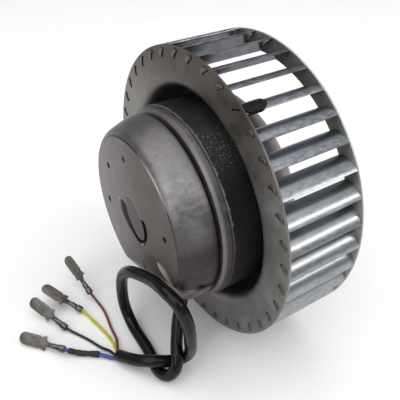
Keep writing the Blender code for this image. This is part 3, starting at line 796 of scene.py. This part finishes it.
def sleeve(points, diameter, finish):
    """Heat-shrunk tube round the middle of a core, waisted and slightly crinkled, open at both ends."""
    first, last = (int(len(points) * share) for share in SLEEVE_SPAN)
    route = [Vector(point) for point in points[first:last]]
    sides = 28
    outer_r, bore_r = 1.55 * MM, diameter / 2 + 0.06 * MM
    lowest = FLOOR_Z * MM + 0.00003
    made = bmesh.new()
    outer_loops, inner_loops = [], []
    for i, point in enumerate(route):
        ahead = (route[min(i + 1, len(route) - 1)] - route[max(i - 1, 0)]).normalized()
        across = ahead.cross(Vector((0, 0, 1))).normalized()
        up = across.cross(ahead)
        share = i / (len(route) - 1)
        swell = 1.0 - 0.10 * sin(pi * share) + 0.05 * sin(13 * share) + 0.03 * sin(31 * share)
        if i in (0, len(route) - 1):
            swell *= 0.9
        for radius, loops in ((outer_r * swell, outer_loops), (bore_r, inner_loops)):
            ring = []
            for side in range(sides):
                angle = 2 * pi * side / sides
                spot = point + (across * cos(angle) + up * sin(angle)) * radius
                spot.z = max(spot.z, lowest)
                ring.append(made.verts.new(spot))
            loops.append(ring)
    skin(made, outer_loops, capped=False)
    skin(made, inner_loops, capped=False)
    for end in (0, -1):
        bridge(made, outer_loops[end], inner_loops[end])
    return object_from("heat_sleeve", made, finish)


def add_trough(made, start, end, radius, wall, opening, squash=1.0, lift=0.0):
    """Adds a rolled strip along X: a round wall with an opening, in degrees, at its top."""
    sides, end_ease = 22, 0.25
    sweep = 2 * pi - radians(opening)
    loops = []
    for x, grow in ((start, 0.95), (start + end_ease, 1.0), (end - end_ease, 1.0), (end, 0.95)):
        loop = []
        for layer in (radius * grow, radius * grow - wall):
            ring = []
            for side in range(sides + 1):
                angle = -pi / 2 - sweep / 2 + sweep * side / sides
                ring.append((x, layer * cos(angle), lift + layer * sin(angle) * squash))
            loop += ring if layer == radius * grow else ring[::-1]
        loops.append([made.verts.new(Vector(point) * MM) for point in loop])
    skin(made, loops)


def push_on_tab(colour, place, finish):
    """Male tab stamped from sheet: rounded tip, dimple, two slits, two barbs, channelled neck and crimps."""
    length, half = 25.0, 3.15
    low, sheet = -1.55, 0.8
    top = low + sheet
    side = [
        (8.6, 0.9), (9.8, 1.2), (10.4, 1.7), (10.8, 3.9), (11.5, 3.3), (12.9, 3.15), (13.1, 2.75),
        (14.0, 2.75), (14.3, half), (21.9, half), (23.2, 2.95), (24.1, 2.4), (24.7, 1.5), (length, 0.5),
    ]  # fmt: skip
    body = prism_object(f"push_on_tab_{colour}", side + [(x, -y) for x, y in side[::-1]], low, top)
    # the prism stands along Y, so it is laid down: its height becomes Z
    body.data.transform(Matrix(((1, 0, 0, 0), (0, 0, 1, 0), (0, 1, 0, 0), (0, 0, 0, 1))))
    soften(body, 0.18, radians(50))
    dimple = spike("cut_dimple", (15.4, 0, top - 0.3), (15.4, 0, top + 0.6), 1.0, 1.9)
    dimple.data.transform(Matrix.Diagonal((1.0, 0.6, 1.0, 1.0)))
    combine(body, dimple, "DIFFERENCE")
    for across in (-1.75, 1.75):
        start, end = (13.6, across, top + 0.1), (18.4, across * 0.9, top + 0.02)
        combine(body, spike("cut_slit", start, end, 0.24, 0.3, 12), "DIFFERENCE")
    made = bmesh.new()
    made.from_mesh(body.data)
    add_trough(made, 5.8, 11.0, 1.25, 0.35, 170, 0.95, -0.25)
    add_trough(made, 3.4, 6.4, 1.42, 0.4, 30, 0.9, -0.12)
    add_trough(made, 0.0, 2.9, BARREL_R, 0.42, 22)
    add_trough(made, 2.5, 4.0, 1.45, 0.35, 190, 1.0, -0.15)
    bmesh.ops.recalc_face_normals(made, faces=made.faces)
    made.to_mesh(body.data)
    made.free()
    smooth(body.data)
    wear(body, finish)
    body.data.transform(place)
    return body


def tab_place(end, lie):
    """Where a tab's barrel starts and which way the tab points, just past a core's end."""
    heading, rise, roll = (radians(angle) for angle in lie)
    turn = Matrix.Rotation(heading, 4, "Z") @ Matrix.Rotation(-rise, 4, "Y") @ Matrix.Rotation(roll, 4, "X")
    return Matrix.Translation(Vector(end) + turn @ Vector((TAB_GAP * MM, 0, 0))) @ turn


def cable_set():
    """The cable with its lip and its bushing, and each core with its tab."""
    jacket = plastic(
        "cable_jacket", (0.004, 0.004, 0.0042), (0.008, 0.008, 0.0083), (0.20, 0.34), 2.6, 0.04, 0.24, 0.02
    )
    rubber = plastic("rubber", (0.008, 0.008, 0.008), (0.02, 0.02, 0.021), (0.45, 0.65), 0.6, 0.05)
    tinned = plain_metal("tinned_brass", (0.115, 0.105, 0.092), (0.215, 0.202, 0.182), (0.36, 0.52), 0.6)
    points = smooth_route(CABLE_ROUTE, 0.0009)
    cable = cord_curve("mains_cable", points, CABLE_D, jacket)
    belongs(cable, "stator", "cable_jacket", "power_cable")
    lip = belongs(jacket_lip(points, jacket), "stator", "cable_jacket")
    bushing = belongs(grommet(rubber), "stator", "rubber", "cable_grommet")
    jacket_heading = (Vector(points[-1]) - Vector(points[-3])).normalized()
    route_length(points)
    for colour, core in CORES.items():
        finish = plastic(f"core_{colour}", *core["tones"], rough=(0.28, 0.42), grain_mm=1.4, depth_mm=0.02)
        diameter = core["diameter"]
        route = [Vector(point) for point in core["route"]]
        place = tab_place(route[-1], core["tab_lie"])
        towards = place.to_3x3() @ Vector((1, 0, 0))
        whole = [route[0] - jacket_heading * INSIDE_JACKET] + route + [route[-1] + towards * INSIDE_BARREL]
        core_points = smooth_route(whole, 0.0006)
        wire = cord_curve(f"core_wire_{colour}", core_points, diameter, finish)
        belongs(wire, "stator", f"core_{colour}", f"core_{colour}")
        tab = push_on_tab(colour, place, tinned)
        on_it = [belongs(tab, "stator", "tinned_brass", f"terminal_{colour}")]
        if colour == "blue":
            tube = sleeve(core_points, diameter, rubber)
            on_it.append(belongs(tube, "stator", "rubber", "core_sleeve"))
        route_length(core_points)


def grommet(finish):
    """Domed bushing in the housing's outlet."""
    neck = OUTLET_BORE_R - 0.3
    profile = [(0, 37.0), (neck, 37.0), (neck, 44.2), (neck + 0.25, 44.4), (neck + 0.25, 44.9), (neck, 45.1)]
    dome_steps = 10
    for step in range(1, dome_steps + 1):
        angle = pi / 2 * step / dome_steps
        profile.append((neck * cos(angle), 45.1 + 2.6 * sin(angle)))
    made = turned("outlet_grommet", profile, finish, steps=40)
    set_along(made, (0, OUTLET_Y * MM, 0), OUTLET_HEADING)
    return made


# --- the still side --------------------------------------------------------------------------------


def smooth_between(points, steps):
    """Points of the smooth curve through an open (radius, y) line."""
    flat = [(a, b, 0.0) for a, b in points]
    total = sum((Vector(q[:2]) - Vector(p[:2])).length for p, q in zip(flat, flat[1:]))
    return [(float(a), float(b)) for a, b, _ in smooth_route(flat, total / steps)]


def sector(inner_r, outer_r, first, last, steps):
    """(x, z) outline between two radii and two angles in degrees."""
    outline = []
    for radius, sweep in [(outer_r, range(steps + 1)), (inner_r, range(steps, -1, -1))]:
        for step in sweep:
            angle = radians(first + (last - first) * step / steps)
            outline.append((radius * cos(angle), radius * sin(angle)))
    return outline


def notch_slab():
    """Slab that cuts the housing's lower corner off, its near side on the notch's plane."""
    width, depth = 120.0, 14.0
    made = bmesh.new()
    bmesh.ops.create_cube(made, size=1.0)
    normal = Vector(NOTCH_NORMAL).normalized()
    middle = (Vector(NOTCH_CORNER) + normal * depth / 2) * MM
    scale = Matrix.Diagonal((width * MM, width * MM, depth * MM, 1.0))
    turn = normal.to_track_quat("Z", "Y").to_matrix().to_4x4()
    bmesh.ops.transform(made, matrix=Matrix.Translation(middle) @ turn @ scale, verts=made.verts)
    return object_from("cut_notch", made)


def dished_spot(name, middle, sizes, tilt):
    """An ellipsoid, its long axis turned in the face's plane."""
    made = bmesh.new()
    bmesh.ops.create_uvsphere(made, u_segments=48, v_segments=32, radius=1.0)
    place = Matrix.Translation(Vector(middle) * MM) @ Matrix.Rotation(tilt, 4, "Y")
    bmesh.ops.transform(made, matrix=place @ Matrix.Diagonal((*(Vector(sizes) * MM), 1.0)), verts=made.verts)
    return object_from(name, made)


def disc_edge(angle):
    """Radius of the oval middle disc's edge, seen from the shaft."""
    heading = Vector((cos(angle), sin(angle)))
    long_way = Vector((cos(DISC_TURN), sin(DISC_TURN)))
    short_way = Vector((-long_way.y, long_way.x))
    middle = Vector(DISC_MIDDLE)
    radius = DISC_HALF[0]
    for _ in range(30):
        spot = heading * radius - middle
        here = sqrt((spot.dot(long_way) / DISC_HALF[0]) ** 2 + (spot.dot(short_way) / DISC_HALF[1]) ** 2)
        radius /= here
    return radius


def face_recess():
    """C-shaped cutter round the oval disc: steep beside the disc, sloping up on its outer side."""
    steps = 60
    levels = [(-1.0, -0.08), (0.0, 0.0), (0.25, 0.10), (0.9, 0.34), (2.0, 0.56), (RECESS_DEPTH, 0.66)]
    edge_angles, edge_radii = zip(*RECESS_EDGE)
    first, last = edge_angles[0], edge_angles[-1]
    made = bmesh.new()
    rings = []
    for along, drawn_in in levels:
        outer, inner = [], []
        for step in range(steps + 1):
            share = step / steps
            degree = first + 2 * drawn_in + (last - first - 4 * drawn_in) * share
            # it runs out shallow on the disc's far side
            deep = 1.0 - 0.62 * min(1.0, max(0.0, (degree - 285) / 35))
            inner_r = disc_edge(radians(degree))
            outer_r = float(np.interp(degree, edge_angles, edge_radii))
            # both ends are rounded off
            near_end = max(0.0, 1 - min(share, 1 - share) * 18)
            outer_r -= (outer_r - inner_r) * (drawn_in + 0.30 * near_end**2.5)
            for side, radius in ((outer, outer_r), (inner, inner_r)):
                turn = radians(degree)
                side.append((radius * cos(turn) * MM, along * deep * MM, radius * sin(turn) * MM))
        rings.append([made.verts.new(point) for point in outer + inner[::-1]])
    skin(made, rings)
    return object_from("cut_recess", made)


def screw_hole(made, angle):
    """Drills and countersinks one screw hole in the face."""
    x, z = FACE_HOLE_CIRCLE_R * cos(angle), FACE_HOLE_CIRCLE_R * sin(angle)
    combine(made, spike("cut_hole", (x, -1, z), (x, FACE_FLOOR_Y + 1, z), FACE_HOLE_R), "DIFFERENCE")
    sink = spike("cut_sink", (x, -0.3, z), (x, 0.6, z), FACE_HOLE_R + 0.75, FACE_HOLE_R - 0.1)
    combine(made, sink, "DIFFERENCE")


def housing():
    """The casting with its bearing tube, recess, outlet pad, cut-off corner and screw holes."""
    tube_r, tube_end, bore_r = 14.5, 52.0, 11.2
    face = [(0, 0, 0), (FACE_R, 0.0, 0.14)]
    wall = smooth_between(
        [(37.75, 0.22), (38.6, 0.85), (39.7, 1.9), (40.75, 4.0), (42.3, 8.6), (43.2, 12.0), (43.35, 15.4)], 18
    )
    inside = [
        (43.1, 16.0, 0.3), (40.6, 16.0, 0.3), (39.0, FACE_FLOOR_Y, 1.5), (tube_r, FACE_FLOOR_Y, 1.0),
        (tube_r, tube_end, 0.3), (bore_r, tube_end, 0.3), (bore_r, FACE_FLOOR_Y, 0.3), (0, FACE_FLOOR_Y, 0),
    ]  # fmt: skip
    made = turned("housing_casting", rounded(face + [(a, b, 0) for a, b in wall] + inside))
    combine(made, face_recess(), "DIFFERENCE")
    for x, z in BURRS:
        combine(made, dished_spot("join_burr", (x, 0.02, z), (0.75, 0.22, 0.6), 0.4), "UNION")
    combine(made, prism_object("join_backing", sector(31.0, 41.0, -112, -28, 24), 2.0, 14.5), "UNION")
    combine(made, prism_object("join_pad", sector(40.9, PAD_R, -100, -21, 40), 8.6, 15.8, 0.35), "UNION")
    combine(made, notch_slab(), "DIFFERENCE")
    aside = Vector((0, OUTLET_Y, 0))
    outlet = spike("cut_outlet", OUTLET_HEADING * 32 + aside, OUTLET_HEADING * 50 + aside, OUTLET_BORE_R)
    combine(made, outlet, "DIFFERENCE")
    combine(made, dished_spot("cut_facet", (26.2, -0.25, -13.6), (7.2, 1.35, 2.9), radians(9)), "DIFFERENCE")
    for angle in FACE_HOLE_ANGLES:
        screw_hole(made, radians(angle))
    even_normals(made)
    wear(made, cast_aluminium())
    return belongs(made, "stator", "cast_aluminium", "stator_housing")


# --- the turning side ------------------------------------------------------------------------------


def can_shell():
    """Pressed steel can, open at its mouth, with a bearing seat in its closed end."""
    shoulder_y, inner_r = 49.5, CAN_R - 1.0
    end_r = CAN_R - (CAN_END_Y - shoulder_y)
    inside_y = CAN_END_Y - 1.0
    profile = rounded([
        (CAN_R, CAN_MOUTH_Y, 0.35), (CAN_R, shoulder_y, 3.0), (end_r, CAN_END_Y, 3.0), (0, CAN_END_Y, 0),
        (0, inside_y, 0), (4.3, inside_y, 0.2), (4.3, 54.5, 0.3), (8.0, 54.5, 0.4), (8.0, inside_y, 0.6),
        (end_r - 0.4, inside_y, 2.0), (inner_r, shoulder_y - 0.4, 2.0), (inner_r, CAN_MOUTH_Y, 0.3),
    ])  # fmt: skip
    made = turned("can_shell", profile, black_enamel())
    return belongs(made, "rotor", "black_enamel", "rotor_can")


def cage_ring():
    """End ring of the rotor cage, with a nick in its rim."""
    bore_r = 34.6
    inside_r = CAN_R - 1.3
    back_y = CAN_MOUTH_Y - 0.25
    profile = rounded([
        (bore_r + 2, CAGE_FRONT_Y, 0.5), (44.1, CAGE_FRONT_Y, 0.7), (45.35, 18.8, 0.7), (45.65, back_y, 0.35),
        (inside_r, back_y, 0), (inside_r, 44.5, 0.3), (bore_r, 44.5, 0.3), (bore_r, 24.0, 0.5),
    ])  # fmt: skip
    made = turned("cage_end_ring", profile)
    nick = Vector((41.9, back_y, 18.2))
    combine(made, spike("cut_nick", nick * 0.985, nick * 1.03, 0.55, 0.75, 14), "DIFFERENCE")
    wear(made, cage_aluminium())
    return belongs(made, "rotor", "cage_aluminium", "rotor_cage")


def blade_line(offset, start=0.0, end=1.0, steps=14):
    """Points along the blade's arc, moved sideways by offset, for a blade whose inner edge is on +X."""
    points = []
    for step in range(steps + 1):
        heading = BLADE_LEAD - BLADE_TURN * (start + (end - start) * step / max(1, steps))
        radius = BLADE_BEND_R + offset
        x = BLADE_INNER_R + BLADE_BEND_R * sin(BLADE_LEAD) - radius * sin(heading)
        z = -BLADE_BEND_R * cos(BLADE_LEAD) + radius * cos(heading)
        points.append((x, z))
    return points


def turned_outline(outline, angle):
    return [(x * cos(angle) - z * sin(angle), x * sin(angle) + z * cos(angle)) for x, z in outline]


def slot_cutters(low, high):
    """One prism for each blade's tab, as one object."""
    made = bmesh.new()
    first, last = TAB_SPAN[0] - 0.02, TAB_SPAN[1] + 0.02
    outline = blade_line(0.32, first, last, 6) + blade_line(-0.72, first, last, 6)[::-1]
    for number in range(BLADE_COUNT):
        add_prism(made, turned_outline(outline, FIRST_BLADE + number * BLADE_PITCH), low, high)
    return object_from("cut_slots", made)


def back_plate():
    """Plate with a rolled inner bend and a drawn hub cup, slotted for the blades' tabs."""
    bend_r, bend_x = 4.8, 56.3
    end_y = CUP_END_Y - SHEET
    sides = []
    for lift in (0.0, SHEET):
        radius = bend_r - lift
        bend = []
        for step in range(9):
            angle = radians(86 * step / 8)
            bend.append((bend_x - radius * sin(angle), PLATE_Y + bend_r - radius * cos(angle)))
        cup = [
            (50.7 + 0.98 * lift, 42.0), (48.4 + 0.9 * lift, 48.6 + 0.2 * lift),
            (44.0 + 0.7 * lift, 54.6 + 0.5 * lift), (37.4 + 0.45 * lift, 60.2 + 0.85 * lift),
            (31.0 + 0.1 * lift, end_y + 0.96 * lift), (22.0, end_y + lift),
        ]  # fmt: skip
        line = smooth_between([bend[-1]] + cup, 26)
        sides.append([(WHEEL_R, PLATE_Y + lift)] + bend[:-1] + line + [(12.0, end_y + lift)])
    motor_side, blade_side = sides
    made = turned("fan_back_plate", motor_side + blade_side[::-1])
    combine(made, slot_cutters(PLATE_Y - 1, PLATE_Y + SHEET + 1), "DIFFERENCE")
    stops = (0.36, (0.198, 0.186, 0.174)), (0.50, (0.250, 0.240, 0.227)), (0.64, (0.310, 0.300, 0.286))
    wear(made, galvanised("galvanised_sheet", stops, has_cup=True))
    return belongs(made, "rotor", "galvanised_sheet", "back_plate")


def inlet_ring():
    """Flat ring round the open side, slotted for the blades' tabs."""
    inner_r = 61.9
    low = RING_OUTER_Y - SHEET
    corners = [(inner_r, low), (inner_r, RING_OUTER_Y), (WHEEL_R, RING_OUTER_Y), (WHEEL_R, low)]
    made = turned("fan_inlet_ring", rounded([(a, b, 0.2) for a, b in corners], 2))
    combine(made, slot_cutters(low - 1, RING_OUTER_Y + 1), "DIFFERENCE")
    stops = (0.36, (0.36, 0.37, 0.335)), (0.52, (0.48, 0.49, 0.45)), (0.66, (0.60, 0.61, 0.56))
    wear(made, galvanised("ring_sheet", stops))
    return belongs(made, "rotor", "ring_sheet", "inlet_ring")


def add_staked_tab(made, face_y, outward):
    """Adds a blade's tab end: a strip through the slot, and the D-shaped foot that is hammered over."""
    strip = blade_line(0.22, *TAB_SPAN, 8) + blade_line(-0.25, *TAB_SPAN, 8)[::-1]
    inside = face_y - outward * (SHEET + 0.6)
    top = face_y + outward * 0.42
    add_prism(made, strip, min(inside, top), max(inside, top))
    steps, swell = 18, 1.55
    foot = []
    for step in range(steps + 1):
        across = -1 + 2 * step / steps
        offset = 0.1 + swell * sqrt(max(0.0, 1 - abs(across) ** 2.3))
        at = sum(TAB_SPAN) / 2 + across * (TAB_SPAN[1] - TAB_SPAN[0]) / 2
        foot += blade_line(offset, at, at, 0)
    foot = [Vector(point) for point in foot]
    centre = sum(foot, Vector((0, 0))) / len(foot)
    rings = []
    for shrink, lift in ((0.0, -0.05), (0.0, 0.22), (0.08, 0.36), (0.22, 0.46), (0.6, 0.52), (0.95, 0.5)):
        ring = [point.lerp(centre, shrink) * MM for point in foot]
        rings.append([made.verts.new((x, (face_y + outward * lift) * MM, z)) for x, z in ring])
    skin(made, rings)


def blades():
    """Every blade: a curved strip with rounded edges, and a staked tab at each end."""
    finish = blade_sheet()
    half = BLADE_SHEET / 2
    outline = blade_line(half)
    outline += blade_line(0.15, 1.012, 1.012, 0) + blade_line(-0.15, 1.012, 1.012, 0)
    outline += blade_line(-half)[::-1]
    outline += blade_line(-0.15, -0.012, -0.012, 0) + blade_line(0.15, -0.012, -0.012, 0)
    low = PLATE_Y + SHEET - 0.02
    high = RING_OUTER_Y - SHEET + 0.02
    for number in range(BLADE_COUNT):
        made = bmesh.new()
        add_prism(made, outline, low, high)
        if number != EMPTY_SLOT_BLADE:
            add_staked_tab(made, PLATE_Y, -1)
        add_staked_tab(made, RING_OUTER_Y, 1)
        turn = Matrix.Rotation(-(FIRST_BLADE + number * BLADE_PITCH), 4, "Y")
        bmesh.ops.transform(made, matrix=turn, verts=made.verts)
        blade = object_from(f"fan_blade_{number + 1:02d}", made, finish)
        belongs(blade, "rotor", "blade_sheet", f"blade_{number + 1:02d}")


def clip_outline(tip):
    """The clip folded round one blade's inner edge, with its legs reaching to the given share of the arc."""
    near, far = BLADE_SHEET / 2 + 0.05, BLADE_SHEET / 2 + 0.75
    nose, steps = -0.02, 14
    nose_at = Vector(blade_line(0.0, nose, nose)[0])
    outer = blade_line(far, tip, nose, steps)
    front = Vector(outer[-1]) - nose_at
    back = Vector((-front.y, front.x))
    bow = [tuple(nose_at + front * cos(pi * i / 8) + back * sin(pi * i / 8) * 1.1) for i in range(1, 8)]
    inner = blade_line(-far, nose, tip, steps)
    hollow = blade_line(-near, tip, nose + 0.05, steps) + blade_line(near, nose + 0.05, tip, steps)
    return outer + bow + inner + hollow


def wire_clip():
    """Folded spring clip over one blade's inner edge; its legs' corners next to the ring are rounded off."""
    low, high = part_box("balance_clip")[0].y / MM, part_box("balance_clip")[1].y / MM
    reach, corner_r = 1.03, 4.0
    levels = [(low, 0.9), (low + 0.3, 0.3), (low + 0.9, 0.0)]
    for step in range(9):
        angle = pi / 2 * step / 8
        levels.append((high - 1.5 - corner_r + corner_r * sin(angle), corner_r * (1 - cos(angle))))
    made = bmesh.new()
    rings = []
    for along, pulled in levels:
        outline = clip_outline(reach - pulled / (BLADE_BEND_R * BLADE_TURN))
        outline = turned_outline(outline, FIRST_BLADE + CLIP_BLADE * BLADE_PITCH)
        rings.append([made.verts.new((x * MM, along * MM, z * MM)) for x, z in outline])
    skin(made, rings)
    black = plastic(
        "clip_steel", (0.004, 0.004, 0.0042), (0.008, 0.008, 0.0085), (0.28, 0.40), 1.5, 0.03, 0.1, 0.008
    )
    clip = object_from("balance_clip_spring", made, black)
    return belongs(clip, "rotor", "clip_steel", "balance_clip")


def inner_parts():
    """The motor's hidden pieces keep their solids and get their own metals."""
    iron = plain_metal(
        "lamination_iron", (0.07, 0.07, 0.075), (0.14, 0.14, 0.15), (0.4, 0.6), 0.5, (0.05, 1, 0.05), 0.05
    )
    copper = plain_metal(
        "copper_winding", (0.30, 0.10, 0.045), (0.48, 0.19, 0.09), (0.25, 0.42), 0.5, (1, 0.1, 1), 0.12
    )
    steel = plain_metal(
        "bearing_steel", (0.36, 0.36, 0.37), (0.55, 0.55, 0.56), (0.2, 0.34), 0.4, (0.1, 1, 0.1), 0.01
    )
    wear(NODES["stator_core"], iron)
    wear(NODES["stator_winding"], copper)
    for name in ("bearing_front", "bearing_rear", "rotor_shaft"):
        wear(NODES[name], steel)


# --- studio ----------------------------------------------------------------------------------------


def softbox(name, at, aim, width, height, watts, colour=(1.0, 1.0, 1.0)):
    data = bpy.data.lights.new(name, "AREA")
    data.shape = "RECTANGLE"
    data.size, data.size_y = width, height
    data.energy = watts
    data.color = colour
    light = bpy.data.objects.new(name, data)
    bpy.context.scene.collection.objects.link(light)
    light.location = at
    light.rotation_euler = (Vector(aim) - Vector(at)).to_track_quat("-Z", "Y").to_euler()


def studio():
    """Plain white room: soft light from above, a narrow key light on the right and a fill near the camera."""
    scene = bpy.context.scene
    scene.view_settings.view_transform = "Standard"
    world = bpy.data.worlds.new("studio")
    world.use_nodes = True
    background = world.node_tree.nodes["Background"]
    background.inputs["Color"].default_value = (0.95, 0.97, 1.0, 1)
    background.inputs["Strength"].default_value = 0.32
    scene.world = world
    middle = (0.0, 0.03, 0.0)
    softbox("overhead", (0.0, 0.0, 1.4), middle, 2.4, 2.4, 27.0)
    softbox("right_key", (0.72, 0.66, 0.60), middle, 0.46, 0.15, 2.4, (1.0, 0.98, 0.93))
    softbox("camera_side", (0.35, -0.9, 0.6), middle, 0.8, 0.6, 2.8)
    made = bmesh.new()
    bmesh.ops.create_grid(made, x_segments=1, y_segments=1, size=3.0)
    bmesh.ops.translate(made, verts=made.verts, vec=(0, 0, FLOOR_Z * MM - 0.0001))
    pale = Finish("pale_floor")
    pale.colour = pale.colours(pale.noise(40.0), (0.3, (0.94, 0.94, 0.94)), (0.7, (0.96, 0.96, 0.96)))
    object_from("floor", made, pale.finish(0.9))


place_camera()
cable_set()
housing()
can_shell()
cage_ring()
back_plate()
inlet_ring()
blades()
wire_clip()
inner_parts()
studio()
